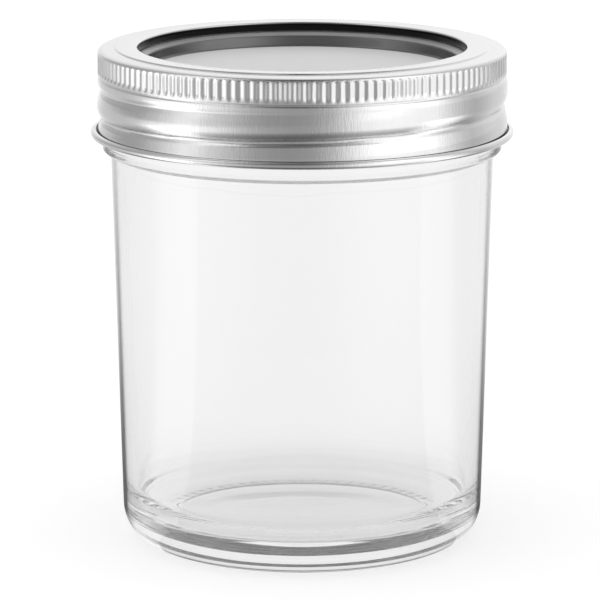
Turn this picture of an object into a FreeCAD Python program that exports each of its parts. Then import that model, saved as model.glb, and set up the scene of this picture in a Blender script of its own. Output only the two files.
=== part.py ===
"""Straight-sided glass preserving jar with a flat metal lid and a screw band.

Everything is in millimetres.  The jar stands on the plane z = 0 with its axis on Z, and its front
faces -Y.  Radii are measured from the axis.  Heights of the neck, lid and band hang from the sealing
rim of the glass, so the closure follows the glass when a size changes.
"""

import FreeCAD, Part
import math
import os

# Glass: the neck radius and the rim height are the two overall sizes.
neck_radius = 34.2            # plain neck between the turns of its thread
rim_height = 88.2             # flat sealing rim above the table
glass_wall = 2.5              # side wall
floor_height = 5.6            # inside floor above the table
body_taper = 1.95             # how much the body narrows from its top to the heel
heel_round = 7.0              # outside rounding between wall and table
floor_round = 6.5             # inside rounding between wall and floor

# Glass: neck ring, on which the capping tools act, and the sealing rim.
ring_proud = 1.3              # ring beyond the neck
ring_drop = 13.4              # top of the ring below the rim
ring_width = 3.5              # ring from top to bottom
ring_round = 0.9              # rounding of the ring's edges
shoulder_step = 1.45          # body top inside the ring
shoulder_fall = 2.2           # height over which the ring runs into the body
shoulder_round = 1.0
rim_step = 0.8                # sealing rim inside the neck
rim_land = 2.6                # width of the sealing rim
rim_depth = 1.8               # plain rim above the neck
rim_round = 0.7

# Glass: underside.
bearing_width = 1.4           # ring on which the jar stands
recess_step = 1.0             # edge of the recess above the table
recess_margin = 1.0           # slope between bearing ring and recess
push_up = 1.2                 # further rise of the underside at its middle
push_up_flat = 8.0            # radius of the flat in the middle of the underside

# Thread: one pitch for the glass thread and the groove rolled into the band.
thread_pitch = 5.08
thread_proud = 1.5            # glass thread beyond the neck
thread_root = 2.6             # width of the glass thread at the neck
thread_crest = 1.2            # width of the glass thread at its crest
thread_clearance = 0.3        # between glass thread and rolled groove, along the axis
thread_ring_gap = 1.0         # lower end of the glass thread above the ring
thread_collar_gap = 0.3       # upper end of the glass thread below the collar
thread_sink = 0.4             # how far the thread's section reaches into the neck

# Lid disc with its sealing ring.
lid_sheet = 0.25
lid_overhang = 0.85           # edge of the lid beyond the sealing rim
lid_lip = 1.1                 # turned-down edge of the lid
lid_seat_inset = 0.55         # flat of the lid inside the sealing rim
lid_slope_width = 1.6         # sloping ring inside the seat
lid_slope_fall = 0.75
lid_slope_drop = 1.35         # start of the sloping ring below the seat
lid_step_width = 0.45         # wall between the sloping ring and the panel
lid_panel_drop = 4.0          # middle panel below the seat
lid_bend = 0.35
seal_thickness = 0.85
seal_inset = 0.15             # sealing ring inside each edge of the rim

# Screw band.
band_sheet = 0.3
band_clearance = 0.5          # band's inner wall beyond the glass thread
collar_inset = 0.2            # fluted collar inside the wall below it
collar_height = 4.2
collar_top_drop = 0.8         # top of the collar below the flange
shoulder_bend = 0.8
opening_inset = 1.05          # opening's edge inside the lid's sloping ring
flange_flat = 4.9             # flat of the flange round the opening
flange_fall = 0.4             # drop of the flange from its flat to the collar
hem_depth = 1.6               # turned-down edge round the opening
hem_bend = 0.5
notch_depth = 0.35            # rolled notch under the collar
notch_width = 0.8
band_drop = 13.9              # middle of the rolled bead below the rim
bead_proud = 1.1              # bead beyond the wall
bead_radius = 0.65
groove_depth = 1.0            # rolled thread groove, measured from the wall
groove_floor = 0.7
groove_upper_flank = 1.75
groove_lower_flank = 0.7
groove_front_drop = 10.3      # groove at the front of the band, below the rim
groove_bead_gap = 0.1
groove_notch_gap = 0.2
flute_count = 138
flute_width = 0.9
flute_depth = 0.35
flute_margin = 0.3            # plain edge above and below the flutes

# A cutter runs this far past the surface it opens.
overrun = 1.0
front_angle = -90.0

# Glass radii and heights.
ring_radius = neck_radius + ring_proud
body_top_radius = ring_radius - shoulder_step
body_base_radius = body_top_radius - body_taper
ring_top = rim_height - ring_drop
ring_bottom = ring_top - ring_width
body_top = ring_bottom - shoulder_fall
rim_radius = neck_radius - rim_step
mouth_radius = rim_radius - rim_land
neck_top = rim_height - rim_depth
bearing_radius = body_base_radius - heel_round
recess_radius = bearing_radius - bearing_width - recess_margin

# Closure heights, from the rim upwards.
lid_underside = rim_height + seal_thickness
lid_seat = lid_underside + lid_sheet
flange_top = lid_seat + band_sheet
collar_top = flange_top - collar_top_drop
collar_bottom = collar_top - collar_height
notch_bottom = collar_bottom - notch_width
bead_height = rim_height - band_drop
groove_front = rim_height - groove_front_drop

# Closure radii, from the glass thread outwards and from the rim inwards.
thread_radius = neck_radius + thread_proud
wall_inner_radius = thread_radius + band_clearance
wall_radius = wall_inner_radius + band_sheet
collar_radius = wall_radius - collar_inset
collar_inner_radius = collar_radius - flute_depth - band_sheet
notch_radius = wall_radius - notch_depth
lid_radius = rim_radius + lid_overhang
seat_inner_radius = mouth_radius - lid_seat_inset
slope_radius = seat_inner_radius - lid_slope_width
opening_radius = seat_inner_radius - opening_inset
hem_outer_radius = opening_radius + band_sheet
flange_crease_radius = opening_radius + flange_flat


def point(radius, height):
    """Point of a section, in the plane y = 0."""
    return FreeCAD.Vector(radius, 0, height)


def section(corners):
    """Face inside a closed outline of (radius, height, rounding) corners."""
    tangents = []
    count = len(corners)
    for index in range(count):
        here = point(*corners[index][:2])
        rounding = corners[index][2]
        to_last = point(*corners[index - 1][:2]).sub(here)
        to_next = point(*corners[(index + 1) % count][:2]).sub(here)
        if rounding == 0:
            tangents.append((here, None, here))
            continue
        half = to_last.getAngle(to_next) / 2
        to_last.normalize()
        to_next.normalize()
        middle = to_last.add(to_next)
        middle.normalize()
        setback = rounding / math.tan(half)
        first = here.add(FreeCAD.Vector(to_last).multiply(setback))
        second = here.add(FreeCAD.Vector(to_next).multiply(setback))
        apex = here.add(middle.multiply(rounding / math.sin(half) - rounding))
        tangents.append((first, apex, second))
    edges = []
    for index in range(count):
        first, apex, second = tangents[index]
        if apex is not None:
            edges.append(Part.Arc(first, apex, second).toShape())
        following = tangents[(index + 1) % count][0]
        if second.distanceToPoint(following) > 1e-6:
            edges.append(Part.makeLine(second, following))
    return Part.Face(Part.Wire(edges))


def turned(corners):
    """Solid turned round the Z axis from a closed outline."""
    axis = FreeCAD.Vector(0, 0, 1)
    return section(corners).revolve(FreeCAD.Vector(0, 0, 0), axis, 360)


def helical_bar(outline, low, high, front_height):
    """Bar that climbs thread_pitch a turn; its outline holds (radius, offset along the axis) points."""
    guide_radius = outline[0][0]
    helix = Part.makeHelix(thread_pitch, high - low, guide_radius)
    points = [point(*corner) for corner in outline]
    profile = Part.makePolygon(points + points[:1])
    bar = Part.Wire(helix.Edges).makePipeShell([profile], True, True)
    turn = front_angle + 360 * (low - front_height) / thread_pitch
    bar.rotate(FreeCAD.Vector(0, 0, 0), FreeCAD.Vector(0, 0, 1), turn)
    bar.translate(FreeCAD.Vector(0, 0, low))
    return bar


def groove_bar(growth, low, high):
    """Volume that the rolled groove takes from the band, grown inwards by a sheet's thickness."""
    floor_radius = wall_radius - groove_depth - growth
    half = groove_floor / 2 + growth
    reach = (groove_depth + growth + overrun) / groove_depth
    outline = [
        (floor_radius, -half),
        (wall_radius + overrun, -half - groove_lower_flank * reach),
        (wall_radius + overrun, half + groove_upper_flank * reach),
        (floor_radius, half),
    ]
    return helical_bar(outline, low, high, groove_front)


def make_glass():
    """Body, neck ring, threaded neck and thick base in one piece of glass."""
    body = turned([
        (0, recess_step + push_up, 0),
        (push_up_flat, recess_step + push_up, 0),
        (recess_radius, recess_step, 0),
        (recess_radius + recess_margin, 0, 0),
        (body_base_radius, 0, heel_round),
        (body_top_radius, body_top, shoulder_round),
        (ring_radius, ring_bottom, ring_round),
        (ring_radius, ring_top, ring_round),
        (neck_radius, ring_top + ring_proud / 2, ring_proud / 4),
        (neck_radius, neck_top - rim_step, 0),
        (rim_radius, neck_top, 0),
        (rim_radius, rim_height, rim_round),
        (mouth_radius, rim_height, rim_round),
        (mouth_radius, ring_top, 0),
        (body_top_radius - glass_wall, body_top, 0),
        (body_base_radius - glass_wall, floor_height, floor_round),
        (0, floor_height, 0),
    ])
    low = ring_top + thread_ring_gap + thread_root / 2
    high = collar_bottom - band_sheet - thread_collar_gap - thread_root / 2
    crest_to_groove = groove_floor / 2 + band_sheet + groove_upper_flank * engagement() / groove_depth
    thread_front = groove_front + crest_to_groove + thread_clearance + thread_crest / 2
    flank = (thread_root - thread_crest) / 2
    sunk = thread_root / 2 + flank * thread_sink / thread_proud
    outline = [
        (neck_radius - thread_sink, -sunk),
        (thread_radius, -thread_crest / 2),
        (thread_radius, thread_crest / 2),
        (neck_radius - thread_sink, sunk),
    ]
    return body.fuse(helical_bar(outline, low, high, thread_front)).removeSplitter()


def engagement():
    """How far the glass thread reaches past the crest of the rolled groove, towards the wall."""
    groove_crest = wall_radius - groove_depth - band_sheet
    return thread_radius - groove_crest


def make_lid():
    """Thin disc: a flat seat on the sealing ring, a sloping ring, and a sunk middle panel."""
    slope_top = lid_seat - lid_slope_drop
    slope_bottom = slope_top - lid_slope_fall
    panel = lid_seat - lid_panel_drop
    panel_radius = slope_radius - lid_step_width
    sheet = lid_sheet
    return turned([
        (0, panel, 0),
        (panel_radius, panel, lid_bend),
        (slope_radius, slope_bottom, lid_bend),
        (seat_inner_radius - sheet, slope_top, lid_bend),
        (seat_inner_radius, lid_seat, lid_bend),
        (lid_radius, lid_seat, lid_bend + sheet),
        (lid_radius, lid_seat - lid_lip, 0),
        (lid_radius - sheet, lid_seat - lid_lip, 0),
        (lid_radius - sheet, lid_underside, lid_bend),
        (seat_inner_radius + sheet, lid_underside, lid_bend),
        (seat_inner_radius, slope_top - sheet, lid_bend),
        (slope_radius + sheet, slope_bottom - sheet, lid_bend),
        (panel_radius + sheet, panel - sheet, lid_bend),
        (0, panel - sheet, 0),
    ])


def make_seal():
    """Flat ring of sealing compound between the lid's seat and the glass rim."""
    inner = mouth_radius + rim_round + seal_inset
    outer = rim_radius - rim_round - seal_inset
    return turned([
        (inner, rim_height, 0),
        (outer, rim_height, 0),
        (outer, lid_underside, 0),
        (inner, lid_underside, 0),
    ])


def make_flutes():
    """Cutters for the row of upright flutes in the collar."""
    floor_radius = collar_radius - flute_depth
    height = collar_height - 2 * flute_margin
    corner = FreeCAD.Vector(floor_radius, -flute_width / 2, collar_bottom + flute_margin)
    cutters = []
    for index in range(flute_count):
        cutter = Part.makeBox(flute_depth + overrun, flute_width, height, corner)
        turn = 360 * index / flute_count
        cutter.rotate(FreeCAD.Vector(0, 0, 0), FreeCAD.Vector(0, 0, 1), turn)
        cutters.append(cutter)
    return Part.makeCompound(cutters)


def make_band():
    """Screw band: flange round an opening, fluted collar, rolled thread and rolled bead."""
    hem_bottom = flange_top - hem_depth
    flange_edge = flange_top - flange_fall
    outside = turned([
        (opening_radius, bead_height, 0),
        (opening_radius, flange_top, hem_bend),
        (flange_crease_radius, flange_top, 0),
        (collar_radius, flange_edge, shoulder_bend),
        (collar_radius, collar_bottom, 0),
        (notch_radius, collar_bottom - notch_width / 2, 0),
        (wall_radius, notch_bottom, 0),
        (wall_radius, bead_height, 0),
    ])
    inside = turned([
        (opening_radius - overrun, bead_height - overrun, 0),
        (opening_radius - overrun, hem_bottom, 0),
        (hem_outer_radius, hem_bottom, 0),
        (hem_outer_radius, flange_top - band_sheet, 0),
        (flange_crease_radius, flange_top - band_sheet, 0),
        (collar_inner_radius, flange_edge - band_sheet, 0),
        (collar_inner_radius, collar_bottom - band_sheet, 0),
        (notch_radius - band_sheet, collar_bottom - notch_width / 2, 0),
        (wall_inner_radius, notch_bottom - band_sheet, 0),
        (wall_inner_radius, bead_height - overrun, 0),
    ])
    low = bead_height + bead_radius + groove_bead_gap + groove_floor / 2 + groove_lower_flank
    high = notch_bottom - groove_notch_gap - groove_floor / 2 - groove_upper_flank
    outside = outside.cut(groove_bar(0, low, high))
    inside = inside.cut(groove_bar(band_sheet, low, high))
    band = outside.cut(inside).cut(make_flutes())
    bead_middle = wall_radius + bead_proud - bead_radius
    bead = Part.makeTorus(bead_middle, bead_radius, FreeCAD.Vector(0, 0, bead_height))
    return band.fuse(bead).removeSplitter()


def main():
    """Write one STEP file for each piece."""
    os.makedirs("parts", exist_ok=True)
    makers = {
        "glass_jar": make_glass,
        "lid_disc": make_lid,
        "seal_ring": make_seal,
        "screw_band": make_band,
    }
    for node, maker in makers.items():
        shape = maker()
        print(node, "solids", len(shape.Solids), "valid", shape.isValid(), "volume", round(shape.Volume))
        shape.exportStep("parts/" + node + ".step")


main()
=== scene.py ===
"""Empty glass preserving jar, closed with a flat metal lid and a rolled screw band.

Run it as a script in Blender.  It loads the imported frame, models each visible piece over it, and
sets up the floor, the lamp, the studio and the camera.  Sizes are stored in metres, outlines are
drawn in millimetres, and the jar's front faces -Y.
"""

import math

import bmesh
import bpy
from bpy.props import FloatProperty, FloatVectorProperty, IntProperty, PointerProperty
from mathutils import Matrix, Vector


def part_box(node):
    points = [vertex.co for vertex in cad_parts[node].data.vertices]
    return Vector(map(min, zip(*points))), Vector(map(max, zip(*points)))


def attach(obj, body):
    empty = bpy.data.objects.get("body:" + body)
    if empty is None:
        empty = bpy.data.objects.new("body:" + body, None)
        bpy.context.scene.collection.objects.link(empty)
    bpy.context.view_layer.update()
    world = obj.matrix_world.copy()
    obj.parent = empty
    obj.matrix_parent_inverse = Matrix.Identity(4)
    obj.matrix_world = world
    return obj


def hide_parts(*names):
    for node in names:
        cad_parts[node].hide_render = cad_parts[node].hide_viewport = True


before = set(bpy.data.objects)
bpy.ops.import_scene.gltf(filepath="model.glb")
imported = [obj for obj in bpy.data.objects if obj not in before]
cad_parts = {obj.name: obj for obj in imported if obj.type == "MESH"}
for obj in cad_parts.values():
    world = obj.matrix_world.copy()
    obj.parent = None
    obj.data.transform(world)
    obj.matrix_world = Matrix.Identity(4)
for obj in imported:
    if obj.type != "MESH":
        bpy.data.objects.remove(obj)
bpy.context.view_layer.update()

bl_info = {
    "name": "Preserving Jar",
    "version": (1, 0, 0),
    "blender": (4, 5, 0),
    "location": "View3D > Sidebar > Jar",
    "description": "Models a glass preserving jar with a metal lid and a screw band",
    "category": "Object",
}

GLASS_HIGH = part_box("glass_jar")[1]
LID_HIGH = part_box("lid_disc")[1]
SEAL_LOW, SEAL_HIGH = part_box("seal_ring")
BAND_LOW, BAND_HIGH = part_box("screw_band")

MM = 0.001
FRONT = -math.pi / 2
SECTORS = 12                      # like sectors that an outline is turned through
THREAD_PITCH = 5.08 * MM          # one for the glass and the band
TABLE_GAP = 0.05 * MM             # air under the glass, so that no two faces coincide
BOUNCES = 40                      # the wall carries light down to the base in many steps


# Sizes and colours

def length(name, description, default):
    """Size of a piece, in metres."""
    return FloatProperty(
        name=name, description=description, default=default, min=0.0,
        subtype="DISTANCE", unit="LENGTH", precision=5,
    )


def colour(name, description, default):
    """Colour of a finish or of the floor."""
    return FloatVectorProperty(
        name=name, description=description, default=default,
        size=3, min=0.0, max=1.0, subtype="COLOR",
    )


# Brightness of the studio by bearing in degrees from straight in front, right positive
STUDIO_LEVELS = (
    (-180, 1.12), (-164, 1.08), (-148, 0.68), (-115, 0.58), (-100, 0.68), (-85, 1.15),
    (-72, 1.55), (-62, 1.7), (-60.5, 1.2), (-50, 1.02), (-42, 0.8), (-33, 0.58), (-22, 0.42),
    (-10, 0.36), (2, 0.35), (12, 0.42), (22, 0.68), (32, 1.04), (42, 1.22), (60, 1.22),
    (70.5, 1.02), (71.8, 1.35), (82, 0.95), (94, 0.64), (109, 0.45), (122, 0.62), (135, 0.74),
    (150, 0.8), (164, 1.08), (180, 1.12),
)

# Brighter strips of the table in reflections: bearings of both edges in degrees, and level
TABLE_STRIPS = ((-62, -98, 1.0), (71, 104, 0.8))

# Share of the studio's level that each kind of ray gets.  The camera gets plain white.
DIFFUSE_STUDIO = 0.44
STUDIO_TILT = (0.27, 0.83)        # in reflections: growth towards +X, and share straight ahead
THROUGH_SHARE = 0.9               # for rays that went through the glass
THROUGH_LIFT = 0.85               # how far they see the dim bearings raised to white
TABLE_GLOW = 0.50
CAMERA_GLOW = 0.13                # added to the table's glow for the camera

# Soft edges in the materials: where a mask is 0 and where it is 1, in metres
STRIP_REACH = (0.312, 0.298)      # far end of the table's strips
TABLE_NEAR = (0.07, 0.20)         # painted shade: where the table's reflection grows from dim, close to the jar, to full
BODY_TOP = (0.0712, 0.0700)       # upper end of the painted shade on the glass's side edges
# Painted shade on the band's hem and in the crevice behind its bead
HEM_RADIUS = (0.0296, 0.0292)
HEM_HEIGHT = (0.0895, 0.0892)
CREVICE_RADIUS = ((0.03638, 0.03646), (0.03688, 0.03682))
CREVICE_HEIGHT = ((0.07435, 0.07445), (0.07500, 0.07485))
LID_RING = (0.0271, 0.0275)       # inner end of the lid's barer metal
LID_STEP = (0.0283, 0.0279)       # outer end of the painted shade on its step


class GlassSizes(bpy.types.PropertyGroup):
    """Sizes of the glass."""

    height: length("Height", "Sealing rim above the table", GLASS_HIGH.z)
    neck: length("Neck radius", "Plain neck between the turns of its thread", 34.2 * MM)
    wall: length("Wall", "Thickness of the side wall", 2.5 * MM)
    floor: length("Floor", "Inside floor above the table", 5.6 * MM)
    taper: length("Taper", "How much the body narrows towards its heel", 1.95 * MM)
    heel: length("Heel", "Outside rounding between wall and table", 7.0 * MM)
    stipple: length("Stipple", "Depth of the marks round the bearing ring", 0.06 * MM)
    stipples: IntProperty(name="Stipples", description="Marks round the bearing ring", default=64, min=8)


class LidSizes(bpy.types.PropertyGroup):
    """Sizes of the lid disc."""

    radius: length("Radius", "Edge of the lid", LID_HIGH.x)
    seat: length("Seat", "Flat of the lid above the table", LID_HIGH.z)
    slope: length("Slope", "Outer radius of the sloping ring", 30.25 * MM)
    panel: length("Panel radius", "Edge of the sunk middle panel", 27.65 * MM)
    sunk: length("Panel depth", "Middle panel below the seat", 4.0 * MM)
    sheet: length("Sheet", "Thickness of the sheet", 0.25 * MM)


class BandSizes(bpy.types.PropertyGroup):
    """Sizes of the screw band."""

    top: length("Top", "Flange above the table", BAND_HIGH.z)
    bead: length("Bead radius", "Outside of the rolled bead", BAND_HIGH.x)
    foot: length("Foot", "Underside of the bead above the table", BAND_LOW.z)
    wall: length("Wall radius", "Outside of the plain wall", 36.5 * MM)
    collar: length("Collar radius", "Outside of the fluted collar", 36.3 * MM)
    opening: length("Opening radius", "Edge of the opening in the flange", 29.2 * MM)
    sheet: length("Sheet", "Thickness of the sheet", 0.3 * MM)
    pitch: length("Pitch", "Climb of the rolled thread in one turn", THREAD_PITCH)
    groove: length("Groove", "Depth of the rolled thread", 1.0 * MM)
    flute: length("Flute", "Depth of the flutes", 0.22 * MM)
    flutes: IntProperty(name="Flutes", description="Upright flutes round the collar", default=138, min=12)


class JarFinishes(bpy.types.PropertyGroup):
    """Colours of the glass and the metals."""

    glass: colour("Glass", "Clear soda glass", (0.994, 0.996, 0.995))
    band: colour("Band", "Brushed tinplate", (0.90, 0.90, 0.90))
    lid: colour("Lid", "Lacquered tinplate", (0.77, 0.77, 0.77))
    seal: colour("Sealing compound", "Soft compound under the lid", (0.88, 0.87, 0.86))


class StageSettings(bpy.types.PropertyGroup):
    """Camera, lamp and floor."""

    distance: length("Camera distance", "Camera in front of the jar's axis", 0.785)
    height: length("Camera height", "Camera above the table", 0.206)
    pitch: FloatProperty(
        name="Camera pitch", description="How far the camera looks down",
        default=math.radians(11.7), subtype="ANGLE", unit="ROTATION",
    )
    lens: FloatProperty(
        name="Lens", description="Focal length", default=268.0, subtype="DISTANCE_CAMERA",
    )
    floor: colour("Floor", "Pale table", (0.48, 0.48, 0.48))
    top_lamp: FloatProperty(
        name="Top lamp", description="Strength of the soft light overhead", default=1.4, min=0.0,
    )


# Modelling

def draw_outline(bm, corners, closed=False):
    """Draws an outline of (radius, height, rounding, segments) corners in millimetres, and rounds them."""
    verts = [bm.verts.new((corner[0] * MM, 0.0, corner[1] * MM)) for corner in corners]
    following = verts[1:] + (verts[:1] if closed else [])
    for here, after in zip(verts, following):
        bm.edges.new((here, after))
    for vert, corner in zip(verts, corners):
        if len(corner) > 2:
            one, two = (edge.other_vert(vert).co - vert.co for edge in vert.link_edges)
            setback = corner[2] * MM / math.tan(one.angle(two) / 2)
            bmesh.ops.bevel(
                bm, geom=[vert], offset=setback, offset_type="OFFSET", segments=corner[3],
                profile=0.5, affect="VERTICES", material=-1,
            )


def divide_wall(bm, low, high, inner, outer, spacing, slack=1e-4):
    """Divides the outline's upright runs in a box of heights and radii, for shapes rolled into them."""
    for edge in list(bm.edges):
        one, two = (vert.co / MM for vert in edge.verts)
        upright = abs(one.z - two.z) > 3 * abs(one.x - two.x)
        inside = low - slack <= min(one.z, two.z) and max(one.z, two.z) <= high + slack
        inside = inside and inner - slack <= min(one.x, two.x) and max(one.x, two.x) <= outer + slack
        cuts = int((one - two).length / spacing)
        if upright and inside and cuts:
            bmesh.ops.subdivide_edges(bm, edges=[edge], cuts=cuts)


def turn_outline(bm, steps):
    """Turns the outline through one sector, and repeats that round the jar's axis into a closed skin."""
    sector = math.tau / SECTORS
    bmesh.ops.spin(
        bm, geom=bm.verts[:] + bm.edges[:], cent=(0, 0, 0), axis=(0, 0, 1), dvec=(0, 0, 0),
        angle=sector, steps=steps // SECTORS, use_merge=False, use_normal_flip=False, use_duplicate=False,
    )
    first = bm.verts[:] + bm.edges[:] + bm.faces[:]
    for index in range(1, SECTORS):
        copied = bmesh.ops.duplicate(bm, geom=first)["geom"]
        verts = [part for part in copied if isinstance(part, bmesh.types.BMVert)]
        turned = Matrix.Rotation(index * sector, 3, "Z")
        bmesh.ops.rotate(bm, verts=verts, cent=(0, 0, 0), matrix=turned)
    bmesh.ops.remove_doubles(bm, verts=bm.verts[:], dist=1e-6)
    bmesh.ops.recalc_face_normals(bm, faces=bm.faces[:])


def smooth(value, low, high):
    """0 at low, 1 at high, with a soft start and end."""
    share = min(max((value - low) / (high - low), 0.0), 1.0)
    return share * share * (3 - 2 * share)


def helix_turns(angle, low, high, front, pitch):
    """Heights between low and high at which a helix passes this angle, in millimetres."""
    height = front + pitch * (angle - FRONT) / math.tau
    height -= pitch * math.floor((height - low) / pitch)
    while height <= high:
        yield height
        height += pitch


def across_nearest(angle, count, radius):
    """Distance round the axis to the middle of the nearest of a count of evenly spaced marks."""
    return abs((angle * count / math.tau + 0.5) % 1.0 - 0.5) * math.tau * radius / count


def push_out(vert, radius, distance):
    """Moves a vertex away from the axis, or towards it where the distance is negative."""
    grow = (radius + distance) / radius
    vert.co.x *= grow
    vert.co.y *= grow


def finish_piece(bm, name, node_name, material):
    """Makes the finished mesh an object that stands for its CAD node."""
    mesh = bpy.data.meshes.new(name)
    bm.to_mesh(mesh)
    bm.free()
    mesh.shade_smooth()
    mesh.materials.append(material)
    piece = bpy.data.objects.new(name, mesh)
    bpy.context.scene.collection.objects.link(piece)
    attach(piece, "root")
    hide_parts(node_name)
    return piece


# Materials

def add_node(tree, kind, inputs=None, **settings):
    """Adds a node, and sets or links its inputs."""
    made = tree.nodes.new(kind)
    for name, value in settings.items():
        setattr(made, name, value)
    for name, value in (inputs or {}).items():
        if isinstance(value, bpy.types.NodeSocket):
            tree.links.new(value, made.inputs[name])
        else:
            made.inputs[name].default_value = value
    return made


def calculate(tree, operation, *values, clamp=False):
    """Adds a Math node and returns its result."""
    made = add_node(tree, "ShaderNodeMath", dict(enumerate(values)), operation=operation, use_clamp=clamp)
    return made.outputs[0]


def fade(tree, value, low, high, to_low=0.0, to_high=1.0):
    """Adds a smooth Map Range node and returns its result."""
    made = add_node(tree, "ShaderNodeMapRange", {
        "Value": value, "From Min": low, "From Max": high, "To Min": to_low, "To Max": to_high,
    }, interpolation_type="SMOOTHSTEP")
    return made.outputs["Result"]


def window(tree, value, rise, fall):
    """1 between two soft edges, each given by where it is 0 and where it is 1."""
    return calculate(tree, "MULTIPLY", fade(tree, value, *rise), fade(tree, value, *fall))


def mix_values(tree, share, low, high):
    """Adds a Mix node for numbers and returns its result."""
    return add_node(tree, "ShaderNodeMix", {0: share, 2: low, 3: high}).outputs[0]


def mix_colours(tree, share, low, high):
    """Adds a Mix node for colours, which may be sockets or plain colours, and returns its result."""
    low, high = (
        side if isinstance(side, bpy.types.NodeSocket) else (*side, 1.0) for side in (low, high)
    )
    return add_node(tree, "ShaderNodeMix", {0: share, 6: low, 7: high}, data_type="RGBA").outputs[2]


def scaled(paint, share, limit=math.inf):
    """The colour made lighter or darker by a share."""
    return tuple(min(limit, share * part) for part in paint)


def flatten(tree, vector):
    """Drops a position's height and returns the rest."""
    level = {0: vector, 1: (1.0, 1.0, 0.0)}
    return add_node(tree, "ShaderNodeVectorMath", level, operation="MULTIPLY").outputs[0]


def measure(tree, vector):
    """Returns the length of a vector."""
    return add_node(tree, "ShaderNodeVectorMath", {0: vector}, operation="LENGTH").outputs["Value"]


def find_bearing(tree, axes):
    """Returns the angle from straight in front, right positive."""
    towards = calculate(tree, "MULTIPLY", axes.outputs["Y"], -1.0)
    return calculate(tree, "ARCTAN2", axes.outputs["X"], towards)


def new_group(name, inputs, outputs):
    """Starts a node group with named sockets, and returns it with its input and output nodes."""
    group = bpy.data.node_groups.new(name, "ShaderNodeTree")
    for socket_name, kind, default in inputs:
        socket = group.interface.new_socket(socket_name, in_out="INPUT", socket_type=kind)
        if default is not None:
            socket.default_value = default
    for socket_name, kind in outputs:
        group.interface.new_socket(socket_name, in_out="OUTPUT", socket_type=kind)
    return group, group.nodes.new("NodeGroupInput"), group.nodes.new("NodeGroupOutput")


def brushed_grain():
    """Group: fine upright scratches with broader patches in them."""
    name = "brushed_grain"
    if name in bpy.data.node_groups:
        return bpy.data.node_groups[name]
    group, entry, result = new_group(
        name,
        [
            ("Vector", "NodeSocketVector", None),
            ("Fineness", "NodeSocketFloat", 3600.0),
            ("Length", "NodeSocketFloat", 0.12),
        ],
        [("Scratches", "NodeSocketFloat"), ("Patches", "NodeSocketFloat")],
    )
    stretch = add_node(group, "ShaderNodeCombineXYZ", {0: 1.0, 1: 1.0, 2: entry.outputs["Length"]})
    run = add_node(group, "ShaderNodeVectorMath", {
        0: entry.outputs["Vector"], 1: stretch.outputs[0],
    }, operation="MULTIPLY")
    scratches = add_node(group, "ShaderNodeTexNoise", {
        "Vector": run.outputs[0], "Scale": entry.outputs["Fineness"], "Detail": 3.0, "Roughness": 0.65,
    })
    broad = calculate(group, "MULTIPLY", entry.outputs["Fineness"], 0.13)
    patches = add_node(group, "ShaderNodeTexNoise", {
        "Vector": run.outputs[0], "Scale": broad, "Detail": 4.0, "Roughness": 0.7,
    })
    group.links.new(scratches.outputs[0], result.inputs["Scratches"])
    group.links.new(patches.outputs[0], result.inputs["Patches"])
    return group


def studio_panels():
    """Group: how bright the studio is in a direction from the jar, dim in front and bright at the sides."""
    name = "studio_panels"
    if name in bpy.data.node_groups:
        return bpy.data.node_groups[name]
    group, entry, result = new_group(
        name,
        [("Vector", "NodeSocketVector", None), ("Lift", "NodeSocketFloat", 0.0)],
        [("Level", "NodeSocketFloat")],
    )
    unit = add_node(group, "ShaderNodeVectorMath", {0: entry.outputs["Vector"]}, operation="NORMALIZE")
    axes = add_node(group, "ShaderNodeSeparateXYZ", {0: unit.outputs[0]})
    bearing = find_bearing(group, axes)
    rise = calculate(group, "ARCSINE", axes.outputs["Z"])
    around = add_node(group, "ShaderNodeValToRGB", {
        "Fac": calculate(group, "MULTIPLY_ADD", bearing, 1 / math.tau, 0.5),
    })
    stops = around.color_ramp.elements
    stops.remove(stops[1])
    stops[0].position = 0.0
    for degrees, level in STUDIO_LEVELS:
        stop = stops[0] if degrees == -180 else stops.new(degrees / 360 + 0.5)
        stop.color = (level, level, level, 1.0)
    under_top = fade(group, rise, math.radians(72), math.radians(54), 0.4, 1.0)
    aside = calculate(group, "ABSOLUTE", bearing)
    high = fade(group, rise, math.radians(18), math.radians(32), 1.0, 0.45)
    ahead = calculate(group, "MAXIMUM", high, fade(group, aside, math.radians(25), math.radians(55)))
    dimmed = calculate(group, "MULTIPLY", under_top, ahead)
    shown = calculate(group, "MULTIPLY", around.outputs[0], dimmed)
    rest = calculate(group, "MAXIMUM", calculate(group, "SUBTRACT", 1.0, shown), 0.0)
    level = calculate(group, "MULTIPLY_ADD", rest, entry.outputs["Lift"], shown)
    group.links.new(level, result.inputs["Level"])
    return group


def new_material(name):
    """Starts a material with its output node."""
    material = bpy.data.materials.new(name)
    material.use_nodes = True
    material.node_tree.nodes.clear()
    return material, material.node_tree, add_node(material.node_tree, "ShaderNodeOutputMaterial")


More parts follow.
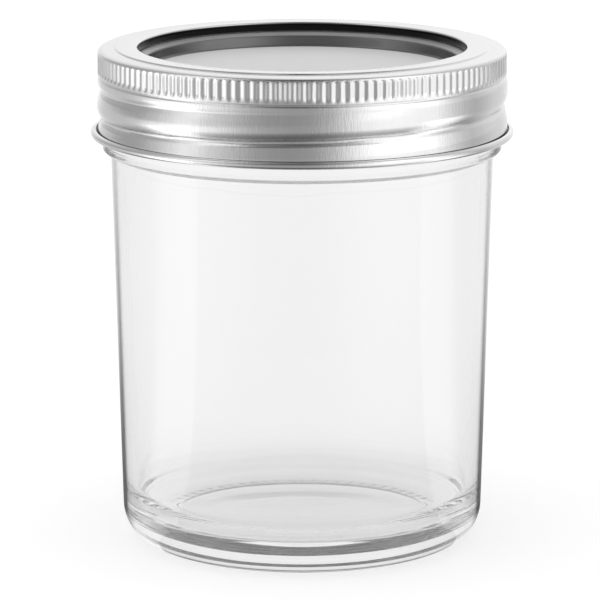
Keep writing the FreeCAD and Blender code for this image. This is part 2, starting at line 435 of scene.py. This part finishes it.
def clear_glass(tint):
    """Clear soda glass with the faint waves of a pressed wall, and painted shade in its tint where the
    body's upright outside turns away.
    """
    material, tree, output = new_material("clear_glass")
    place = add_node(tree, "ShaderNodeTexCoord")
    waves = add_node(tree, "ShaderNodeTexNoise", {
        "Vector": place.outputs["Object"], "Scale": 60.0, "Detail": 1.0,
    })
    bump = add_node(tree, "ShaderNodeBump", {
        "Height": waves.outputs[0], "Strength": 0.06, "Distance": 0.001,
    })
    weight = add_node(tree, "ShaderNodeLayerWeight", {"Blend": 0.5})
    grazing_shade = fade(tree, weight.outputs["Facing"], 0.745, 0.835)
    skin = add_node(tree, "ShaderNodeNewGeometry")
    way = add_node(tree, "ShaderNodeSeparateXYZ", {0: skin.outputs["Normal"]})
    outwards = add_node(tree, "ShaderNodeVectorMath", {
        0: skin.outputs["Normal"], 1: place.outputs["Object"],
    }, operation="DOT_PRODUCT")
    outside = fade(tree, outwards.outputs["Value"], 0.02, 0.03)
    upright = fade(tree, calculate(tree, "ABSOLUTE", way.outputs["Z"]), 0.3, 0.1)
    entering = calculate(tree, "SUBTRACT", 1.0, skin.outputs["Backfacing"])
    heights = add_node(tree, "ShaderNodeSeparateXYZ", {0: place.outputs["Object"]})
    below_ring = fade(tree, heights.outputs["Z"], *BODY_TOP)
    # painted shade: the tint turns dark at grazing angles on the body's upright outside, below BODY_TOP
    edge = grazing_shade
    for mask in (outside, upright, entering, below_ring):
        edge = calculate(tree, "MULTIPLY", edge, mask)
    tone = mix_colours(tree, edge, tint, (0.02, 0.02, 0.02))
    glass = add_node(tree, "ShaderNodeBsdfPrincipled", {
        "Base Color": tone, "Roughness": 0.0, "IOR": 1.52, "Transmission Weight": 1.0,
        "Normal": bump.outputs[0],
    })
    lamps_through = add_node(tree, "ShaderNodeBsdfTransparent", {"Color": (0.94, 0.94, 0.94, 1.0)})
    path = add_node(tree, "ShaderNodeLightPath")
    either = add_node(tree, "ShaderNodeMixShader", {
        0: path.outputs["Is Shadow Ray"], 1: glass.outputs[0], 2: lamps_through.outputs[0],
    })
    tree.links.new(either.outputs[0], output.inputs["Surface"])
    return material


def band_metal(metal):
    """Bright tinplate, brushed upright, with painted shade on the hem inside the opening and in the crevice
    behind the bead.
    """
    material, tree, output = new_material("band_metal")
    place = add_node(tree, "ShaderNodeTexCoord").outputs["Object"]
    grain = add_node(tree, "ShaderNodeGroup", {"Vector": place}, node_tree=brushed_grain())
    tone = mix_colours(tree, grain.outputs["Patches"], scaled(metal, 0.94), scaled(metal, 1.05, limit=1.0))
    height = add_node(tree, "ShaderNodeSeparateXYZ", {0: place}).outputs["Z"]
    radius = measure(tree, flatten(tree, place))
    # painted shade: masks for the hem inside the opening and the crevice behind the bead
    hem = calculate(
        tree, "MULTIPLY", fade(tree, radius, *HEM_RADIUS), fade(tree, height, *HEM_HEIGHT),
    )
    crevice = calculate(
        tree, "MULTIPLY", window(tree, radius, *CREVICE_RADIUS), window(tree, height, *CREVICE_HEIGHT),
    )
    painted_shade = calculate(tree, "MAXIMUM", hem, crevice)
    # painted shade: both places are coloured almost black
    tone = mix_colours(tree, painted_shade, tone, scaled(metal, 0.015))
    rough = fade(tree, grain.outputs["Scratches"], 0.25, 0.75, 0.11, 0.19)
    facing = add_node(tree, "ShaderNodeNewGeometry")
    turned = add_node(tree, "ShaderNodeSeparateXYZ", {0: facing.outputs["Normal"]})
    lying = calculate(tree, "ABSOLUTE", turned.outputs["Z"])
    depth = fade(tree, lying, 0.9, 0.5, 0.05, 0.5)
    bump = add_node(tree, "ShaderNodeBump", {
        "Height": grain.outputs["Scratches"], "Strength": depth, "Distance": 0.05 * MM,
    })
    surface = add_node(tree, "ShaderNodeBsdfPrincipled", {
        "Base Color": tone, "Metallic": 1.0, "Roughness": rough, "Normal": bump.outputs[0],
    })
    tree.links.new(surface.outputs[0], output.inputs["Surface"])
    return material


def lid_metal(metal):
    """Satin lacquered panel, with barer metal round it, painted shade on its step, and an underside painted
    pale and matte as painted light.
    """
    material, tree, output = new_material("lid_metal")
    place = add_node(tree, "ShaderNodeTexCoord").outputs["Object"]
    radius = measure(tree, flatten(tree, place))
    grain = add_node(tree, "ShaderNodeTexNoise", {"Vector": place, "Scale": 2200.0, "Detail": 2.0})
    streaks = add_node(tree, "ShaderNodeGroup", {
        "Vector": place, "Fineness": 900.0, "Length": 0.5,
    }, node_tree=brushed_grain())
    drawn = fade(tree, radius, *LID_RING)
    # painted shade on the step round the sunk panel
    step = calculate(tree, "MULTIPLY", drawn, fade(tree, radius, *LID_STEP))
    bright = scaled(metal, 1.12, limit=1.0)
    ring_tone = mix_colours(tree, streaks.outputs["Patches"], scaled(metal, 0.88), bright)
    tone = mix_colours(tree, drawn, metal, ring_tone)
    tone = mix_colours(tree, step, tone, scaled(metal, 0.22))
    facing = add_node(tree, "ShaderNodeNewGeometry")
    turned = add_node(tree, "ShaderNodeSeparateXYZ", {0: facing.outputs["Normal"]})
    # painted light: the lid's underside gets a pale, matte colour, lighter than its lighting gives
    under = fade(tree, turned.outputs["Z"], -0.05, -0.15)
    tone = mix_colours(tree, under, tone, (0.92, 0.92, 0.91))
    rough = mix_values(tree, drawn, 0.5, fade(tree, grain.outputs[0], 0.3, 0.7, 0.14, 0.22))
    bare = fade(tree, drawn, 0.0, 1.0, 0.2, 0.6)
    bare = calculate(tree, "MULTIPLY", bare, calculate(tree, "SUBTRACT", 1.0, under))
    bump = add_node(tree, "ShaderNodeBump", {
        "Height": grain.outputs[0], "Strength": 0.06, "Distance": 0.03 * MM,
    })
    surface = add_node(tree, "ShaderNodeBsdfPrincipled", {
        "Base Color": tone, "Metallic": bare, "Roughness": rough, "Normal": bump.outputs[0],
    })
    tree.links.new(surface.outputs[0], output.inputs["Surface"])
    return material


def sealing_compound(paint):
    """Soft, slightly uneven compound."""
    material, tree, output = new_material("sealing_compound")
    place = add_node(tree, "ShaderNodeTexCoord")
    flow = add_node(tree, "ShaderNodeTexNoise", {
        "Vector": place.outputs["Object"], "Scale": 500.0, "Detail": 2.0,
    })
    tone = mix_colours(tree, flow.outputs[0], scaled(paint, 0.85), scaled(paint, 1.15))
    surface = add_node(tree, "ShaderNodeBsdfPrincipled", {"Base Color": tone, "Roughness": 0.5})
    tree.links.new(surface.outputs[0], output.inputs["Surface"])
    return material


def table_top(paint):
    """Pale table: white to the camera and through glass, with the studio's levels to reflections and
    painted shade in them close to the jar.
    """
    material, tree, output = new_material("table_top")
    path = add_node(tree, "ShaderNodeLightPath")
    flat = flatten(tree, add_node(tree, "ShaderNodeTexCoord").outputs["Object"])
    panels = add_node(tree, "ShaderNodeGroup", {"Vector": flat}, node_tree=studio_panels())
    away = measure(tree, flat)
    # painted shade: the table is dimmer in reflections close to the jar
    near_table_shade = fade(tree, away, *TABLE_NEAR, 0.35, 1.0)
    bearing = find_bearing(tree, add_node(tree, "ShaderNodeSeparateXYZ", {0: flat}))
    strip = 0.0
    for inner, outer, level in TABLE_STRIPS:
        edges = calculate(
            tree, "MULTIPLY",
            fade(tree, bearing, math.radians(inner), math.radians(inner * 1.015), 0.0, level),
            fade(tree, bearing, math.radians(outer), math.radians(outer * 0.85)),
        )
        strip = calculate(tree, "ADD", edges, strip)
    strip = calculate(tree, "MULTIPLY", strip, fade(tree, away, *STRIP_REACH))
    shown = calculate(tree, "ADD", calculate(tree, "MULTIPLY", panels.outputs["Level"], near_table_shade), strip)
    camera = path.outputs["Is Camera Ray"]
    through = calculate(tree, "MAXIMUM", path.outputs["Is Transmission Ray"], camera)
    level = mix_values(tree, through, shown, 1.0)
    seen = calculate(tree, "MAXIMUM", through, path.outputs["Is Glossy Ray"])
    bright = calculate(tree, "MULTIPLY_ADD", camera, CAMERA_GLOW, TABLE_GLOW)
    strength = calculate(tree, "MULTIPLY", calculate(tree, "MULTIPLY", seen, level), bright)
    glow = add_node(tree, "ShaderNodeEmission", {"Strength": strength})
    shade = calculate(tree, "MAXIMUM", level, calculate(tree, "SUBTRACT", 1.0, seen))
    tone = mix_colours(tree, shade, (0.0, 0.0, 0.0), paint)
    lit = add_node(tree, "ShaderNodeBsdfDiffuse", {"Color": tone})
    both = add_node(tree, "ShaderNodeAddShader", {0: glow.outputs[0], 1: lit.outputs[0]})
    tree.links.new(both.outputs[0], output.inputs["Surface"])
    return material


# Pieces

class JAR_OT_make_glass(bpy.types.Operator):
    """Model the glass: body, neck ring, threaded neck and thick base"""

    bl_idname = "jar.make_glass"
    bl_label = "Glass"

    def execute(self, context):
        sizes = context.scene.jar_glass
        rim, neck, wall = sizes.height / MM, sizes.neck / MM, sizes.wall / MM
        ring, ring_top, ring_bottom = neck + 1.3, rim - 13.4, rim - 16.9
        top, body_top = neck - 0.15, rim - 19.1
        heel, floor = sizes.heel / MM, sizes.floor / MM
        base = top - sizes.taper / MM
        mouth, bearing = top - wall, base - heel
        land, land_low, neck_high, recess = neck - 0.8, rim - 1.8, rim - 2.6, 0.25
        bm = bmesh.new()
        draw_outline(bm, [
            (0, recess),
            (bearing - 2.4, recess),
            (bearing - 1.9, recess, 0.1, 3),
            (bearing - 1.7, 0.0, 0.1, 3),
            (bearing - 1.3, 0.0),
            (base, 0.0, heel - 0.2, 18),
            (top, ring_bottom - 0.5, 0.3, 4),
            (ring, ring_bottom, 0.5, 6),
            (ring, ring_top, 0.9, 6),
            (neck, ring_top + 0.65, 0.4, 4),
            (neck, neck_high, 0.3, 3),
            (land, land_low, 0.3, 3),
            (land, rim, 0.7, 5),
            (mouth, rim, 0.7, 5),
            (mouth, body_top),
            (base - wall, floor, 6.5, 16),
            (0, floor),
        ])
        neck_low, thread_low, thread_high = ring_top + 0.9, ring_top + 2.3, rim - 5.5
        thread_front, thread_proud, thread_fade = rim - 7.875, 1.5, 0.5
        divide_wall(bm, neck_low, neck_high, neck - 0.1, ring, 0.28)
        turn_outline(bm, sizes.stipples * 6)
        for vert in bm.verts:
            radius, angle = vert.co.xy.length / MM, math.atan2(vert.co.y, vert.co.x)
            height = vert.co.z / MM
            if radius > neck - 0.05 and neck_low < height < neck_high - 0.1:
                proud = 0.0
                for turn in helix_turns(angle, thread_low, thread_high, thread_front, THREAD_PITCH / MM):
                    ends = smooth(turn, thread_low, thread_low + thread_fade)
                    ends *= smooth(turn, thread_high, thread_high - thread_fade)
                    proud = max(proud, thread_proud * ends * smooth(abs(height - turn), 1.35, 0.55))
                push_out(vert, radius, proud)
            if height < 0.9 and bearing - 1.5 < radius < bearing + 2.0:
                across = across_nearest(angle, sizes.stipples, radius)
                share = smooth(math.hypot(across, radius - bearing - 0.3), 0.6, 0.15)
                vert.co.z += sizes.stipple * share
        glass = clear_glass(context.scene.jar_finishes.glass)
        finish_piece(bm, "jar_glass", "glass_jar", glass)
        return {"FINISHED"}


class JAR_OT_make_lid(bpy.types.Operator):
    """Model the lid disc: a flat seat, a sloping ring and a sunk panel"""

    bl_idname = "jar.make_lid"
    bl_label = "Lid"

    def execute(self, context):
        sizes = context.scene.jar_lid
        edge, seat, slope = sizes.radius / MM, sizes.seat / MM, sizes.slope / MM
        panel, sheet = sizes.panel / MM, sizes.sheet / MM
        step, floor = panel + 0.2, seat - sizes.sunk / MM
        step_top, slope_low, lip_low = seat - 2.1, seat - 1.35, seat - 1.1
        bm = bmesh.new()
        draw_outline(bm, [
            (0, floor),
            (panel, floor, 0.5, 5),
            (step, step_top, 0.35, 5),
            (slope - sheet, slope_low, 0.3, 4),
            (slope, seat, 0.3, 4),
            (edge, seat, 0.55, 6),
            (edge, lip_low, 0.1, 2),
            (edge - sheet, lip_low, 0.1, 2),
            (edge - sheet, seat - sheet, 0.3, 4),
            (slope + sheet, seat - sheet, 0.35, 4),
            (slope, slope_low - sheet, 0.35, 4),
            (step + sheet, step_top - sheet, 0.35, 4),
            (panel + sheet, floor - sheet, 0.4, 5),
            (0, floor - sheet),
        ])
        turn_outline(bm, 256)
        metal = lid_metal(context.scene.jar_finishes.lid)
        finish_piece(bm, "lid", "lid_disc", metal)
        return {"FINISHED"}


class JAR_OT_make_seal(bpy.types.Operator):
    """Model the ring of sealing compound between lid and glass"""

    bl_idname = "jar.make_seal"
    bl_label = "Sealing ring"

    def execute(self, context):
        outer, low, high = SEAL_HIGH.x / MM, SEAL_LOW.z / MM, SEAL_HIGH.z / MM
        inner = outer - 1.1
        bm = bmesh.new()
        draw_outline(bm, [
            (inner, low, 0.25, 4),
            (outer, low, 0.25, 4),
            (outer, high, 0.1, 2),
            (inner, high, 0.1, 2),
        ], closed=True)
        turn_outline(bm, 192)
        seal = sealing_compound(context.scene.jar_finishes.seal)
        finish_piece(bm, "sealing_compound_ring", "seal_ring", seal)
        return {"FINISHED"}


class JAR_OT_make_band(bpy.types.Operator):
    """Model the screw band: flange, fluted collar, rolled thread and rolled bead"""

    bl_idname = "jar.make_band"
    bl_label = "Screw band"

    def execute(self, context):
        sizes = context.scene.jar_band
        top, foot, bead = sizes.top / MM, sizes.foot / MM, sizes.bead / MM
        wall, collar, opening = sizes.wall / MM, sizes.collar / MM, sizes.opening / MM
        sheet, pitch, groove = sizes.sheet / MM, sizes.pitch / MM, sizes.groove / MM
        inside, collar_inside, hem_low = wall - sheet, collar - 0.65, top - 1.6
        collar_low, ridge_low, bead_top = top - 5.0, top - 5.6, foot + 0.8
        crease = opening + 3.9
        bm = bmesh.new()
        draw_outline(bm, [
            (opening, hem_low, 0.12, 2),
            (opening, top, 0.4, 4),
            (crease - 0.5, top),
            (crease, top, 0.08, 2),
            (crease + 0.2, top - 0.24, 0.08, 2),
            (crease + 0.6, top - 0.26),
            (collar - 0.8, top - 0.36, 0.35, 3),
            (collar - 0.02, top - 0.7, 0.6, 6),
            (collar, collar_low, 0.14, 3),
            (collar - 0.34, collar_low - 0.12, 0.1, 2),
            (collar - 0.02, collar_low - 0.42, 0.18, 3),
            (wall, ridge_low - 0.7),
            (wall, bead_top),
            (wall + 0.28, bead_top),
            (wall + 0.30, foot + 1.32, 0.12, 3),
            (bead, foot + 1.3, 0.6, 5),
            (bead, foot, 0.62, 5),
            (inside + 0.05, foot, 0.3, 3),
            (inside, foot + 0.9),
            (inside, ridge_low - 0.9),
            (collar_inside, collar_low - 0.4),
            (collar_inside, top - 0.95, 0.5, 2),
            (crease, top - sheet - 0.05),
            (opening + sheet, top - sheet, 0.2, 2),
            (opening + sheet, hem_low, 0.12, 2),
        ], closed=True)
        divide_wall(bm, bead_top, ridge_low - 0.7, wall - 0.1, bead, 0.33)
        divide_wall(bm, foot + 0.9, ridge_low - 0.9, inside - 0.1, wall - 0.2, 1.1)
        divide_wall(bm, collar_low, top - 1.0, collar - 0.1, bead, 0.36)
        turn_outline(bm, sizes.flutes * 6)
        flute_low, flute_high = collar_low + 0.35, top - 0.95
        groove_low, groove_high, groove_front = foot + 1.6, ridge_low + 0.3, top - 11.6
        for vert in bm.verts:
            radius, angle = vert.co.xy.length / MM, math.atan2(vert.co.y, vert.co.x)
            height, moved = vert.co.z / MM, 0.0
            if radius > collar - 0.1 and flute_low < height < flute_high:
                across = across_nearest(angle, sizes.flutes, collar)
                along = max(0.6 * (flute_low + 0.9 - height), height - flute_high + 0.45, 0.0)
                moved = -sizes.flute / MM * smooth(math.hypot(across, along), 0.54, 0.28)
            elif radius > inside - 0.02 and foot + 1.0 < height < ridge_low:
                depth = 0.0
                for turn in helix_turns(angle, groove_low, groove_high, groove_front, pitch):
                    start = smooth(turn, groove_low, groove_low + 0.6)
                    ending = smooth(turn, top - 8.2, top - 5.4)
                    depth = max(depth, self.groove_share(height - turn, ending) * start * (1 - ending))
                moved = -groove * depth * smooth(height, ridge_low + 0.1, ridge_low - 0.5)
            if moved:
                push_out(vert, radius, moved)
        metal = band_metal(context.scene.jar_finishes.band)
        finish_piece(bm, "band", "screw_band", metal)
        return {"FINISHED"}

    def groove_share(self, offset, ending):
        """Share of the groove's depth at an offset above its line: long slope above, flank below."""
        above, below = max(offset, 0.0), max(-offset, 0.0)
        upper = max(0.0, 1 - above / (2.4 + 0.9 * ending)) ** 1.9
        flank = max(0.0, 1 - below / (0.6 + 2.0 * ending)) ** 2
        return upper * (0.55 * flank + 0.45 * smooth(below, 3.0, 0.0))


# Stage

class JAR_OT_make_stage(bpy.types.Operator):
    """Set up the table, the studio light and the camera"""

    bl_idname = "jar.make_stage"
    bl_label = "Stage"

    def execute(self, context):
        stage = context.scene.jar_stage
        self.make_table(context, stage)
        self.make_light(context, stage)
        self.make_camera(context, stage)
        cycles = context.scene.cycles
        cycles.max_bounces = cycles.transmission_bounces = cycles.glossy_bounces = BOUNCES
        context.scene.view_settings.view_transform = "Standard"
        return {"FINISHED"}

    def make_table(self, context, stage):
        """Wide pale table top, a hair below the glass."""
        bm = bmesh.new()
        lowered = Matrix.Translation((0.0, 0.0, -TABLE_GAP))
        bmesh.ops.create_grid(bm, x_segments=8, y_segments=8, size=6.0, matrix=lowered)
        mesh = bpy.data.meshes.new("table")
        bm.to_mesh(mesh)
        bm.free()
        mesh.materials.append(table_top(stage.floor))
        table = bpy.data.objects.new("table", mesh)
        context.scene.collection.objects.link(table)

    def make_light(self, context, stage):
        """Soft lamp overhead, and a studio of bright panels that metal and glass show."""
        lamp = bpy.data.lights.new("top_lamp", "SUN")
        lamp.angle = math.radians(60)
        lamp.energy = stage.top_lamp
        overhead = bpy.data.objects.new("top_lamp", lamp)
        overhead.rotation_euler = Vector((-0.05, -0.15, 1.0)).to_track_quat("Z", "Y").to_euler()
        overhead.visible_glossy = False
        overhead.visible_transmission = False
        context.scene.collection.objects.link(overhead)

        world = bpy.data.worlds.new("studio")
        world.use_nodes = True
        tree = world.node_tree
        tree.nodes.clear()
        path = add_node(tree, "ShaderNodeLightPath")
        through = path.outputs["Is Transmission Ray"]
        direction = add_node(tree, "ShaderNodeTexCoord").outputs["Generated"]
        panels = add_node(tree, "ShaderNodeGroup", {
            "Vector": direction, "Lift": calculate(tree, "MULTIPLY", through, THROUGH_LIFT),
        }, node_tree=studio_panels())
        axes = add_node(tree, "ShaderNodeSeparateXYZ", {0: direction})
        tilt = calculate(tree, "MULTIPLY_ADD", axes.outputs["X"], *STUDIO_TILT)
        share = mix_values(tree, through, tilt, THROUGH_SHARE)
        limit = calculate(tree, "SUBTRACT", 2.0, through)
        level = calculate(tree, "MINIMUM", panels.outputs["Level"], limit)
        level = calculate(tree, "MULTIPLY", level, share)
        reflected = calculate(tree, "MAXIMUM", path.outputs["Is Glossy Ray"], through)
        around = mix_values(tree, reflected, DIFFUSE_STUDIO, level)
        strength = calculate(tree, "MAXIMUM", around, path.outputs["Is Camera Ray"])
        glow = add_node(tree, "ShaderNodeBackground", {
            "Color": (1.0, 1.0, 1.0, 1.0), "Strength": strength,
        })
        output = add_node(tree, "ShaderNodeOutputWorld")
        tree.links.new(glow.outputs[0], output.inputs["Surface"])
        context.scene.world = world

    def make_camera(self, context, stage):
        """Long lens, a little above the jar."""
        camera = bpy.data.cameras.new("camera")
        camera.lens = stage.lens
        camera.sensor_width = 36.0
        camera.shift_x = -0.0035
        camera.clip_start = 0.05
        camera.clip_end = 50.0
        viewer = bpy.data.objects.new("camera", camera)
        viewer.location = (0.0, -stage.distance, stage.height)
        viewer.rotation_euler = (math.pi / 2 - stage.pitch, 0.0, 0.0)
        context.scene.collection.objects.link(viewer)
        context.scene.camera = viewer


class JAR_PT_sidebar(bpy.types.Panel):
    """Sizes, colours and pieces of the jar"""

    bl_idname = "JAR_PT_sidebar"
    bl_label = "Preserving jar"
    bl_space_type = "VIEW_3D"
    bl_region_type = "UI"
    bl_category = "Jar"

    def draw(self, context):
        scene = context.scene
        parts = (
            (scene.jar_glass, "jar.make_glass"), (scene.jar_lid, "jar.make_lid"),
            (scene.jar_band, "jar.make_band"), (scene.jar_finishes, "jar.make_seal"),
            (scene.jar_stage, "jar.make_stage"),
        )
        for group, operator in parts:
            box = self.layout.box()
            for name in group.bl_rna.properties.keys():
                if name not in {"rna_type", "name"}:
                    box.prop(group, name)
            box.operator(operator)


GROUPS = {
    "jar_glass": GlassSizes,
    "jar_lid": LidSizes,
    "jar_band": BandSizes,
    "jar_finishes": JarFinishes,
    "jar_stage": StageSettings,
}
OPERATORS = (
    JAR_OT_make_glass, JAR_OT_make_seal, JAR_OT_make_lid, JAR_OT_make_band, JAR_OT_make_stage,
)


def register():
    for name, group in GROUPS.items():
        bpy.utils.register_class(group)
        setattr(bpy.types.Scene, name, PointerProperty(type=group))
    for made in OPERATORS:
        bpy.utils.register_class(made)
    bpy.utils.register_class(JAR_PT_sidebar)


def unregister():
    bpy.utils.unregister_class(JAR_PT_sidebar)
    for made in reversed(OPERATORS):
        bpy.utils.unregister_class(made)
    for name, group in reversed(GROUPS.items()):
        delattr(bpy.types.Scene, name)
        bpy.utils.unregister_class(group)


def main():
    register()
    bpy.ops.jar.make_glass()
    bpy.ops.jar.make_seal()
    bpy.ops.jar.make_lid()
    bpy.ops.jar.make_band()
    bpy.ops.jar.make_stage()


if __name__ == "__main__":
    main()
